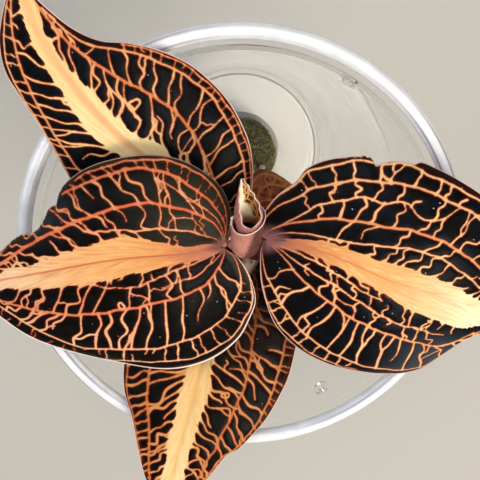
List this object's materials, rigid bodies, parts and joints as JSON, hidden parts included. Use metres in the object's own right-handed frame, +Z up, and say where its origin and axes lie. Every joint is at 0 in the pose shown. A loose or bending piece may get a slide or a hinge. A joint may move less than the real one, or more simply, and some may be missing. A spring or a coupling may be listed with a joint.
{
  "type": "jewel orchid in a clear cup",
  "caption": "Jewel orchid with broad dark velvet leaves netted in gold, a golden stripe down each, and a furled new leaf, standing in a clear tapered cup.",
  "frame": {"origin": "centre of the cup's flat foot, on the surface it stands on", "axes": "+Z up along the cup's axis, +X along the right leaf, -Y towards the lower leaf"},
  "size_m": [0.1176, 0.1198, 0.126],
  "materials": {
    "clear_plastic": "clear, glossy, with a milky rolled rim",
    "moss": "dark damp moss, matte",
    "stem": "dusty pink, smooth, faintly translucent",
    "root": "pale tan, felted",
    "veined_leaf": "black-green velvet with a raised orange and gold net and a golden stripe, pink below",
    "shaded_leaf": "brown-red with dull orange veins",
    "pink_leaf": "dusty pink outside, cream and gold net inside"
  },
  "bodies": {
    "root": {"cup": "clear_plastic", "plug": "moss", "stem": "stem", "root_1": "root", "root_2": "root", "root_3": "root", "leaf_left": "veined_leaf", "leaf_right": "veined_leaf", "leaf_upper": "veined_leaf", "leaf_lower": "veined_leaf", "leaf_small": "shaded_leaf", "furled_leaf": "pink_leaf"}
  },
  "joints": []
}
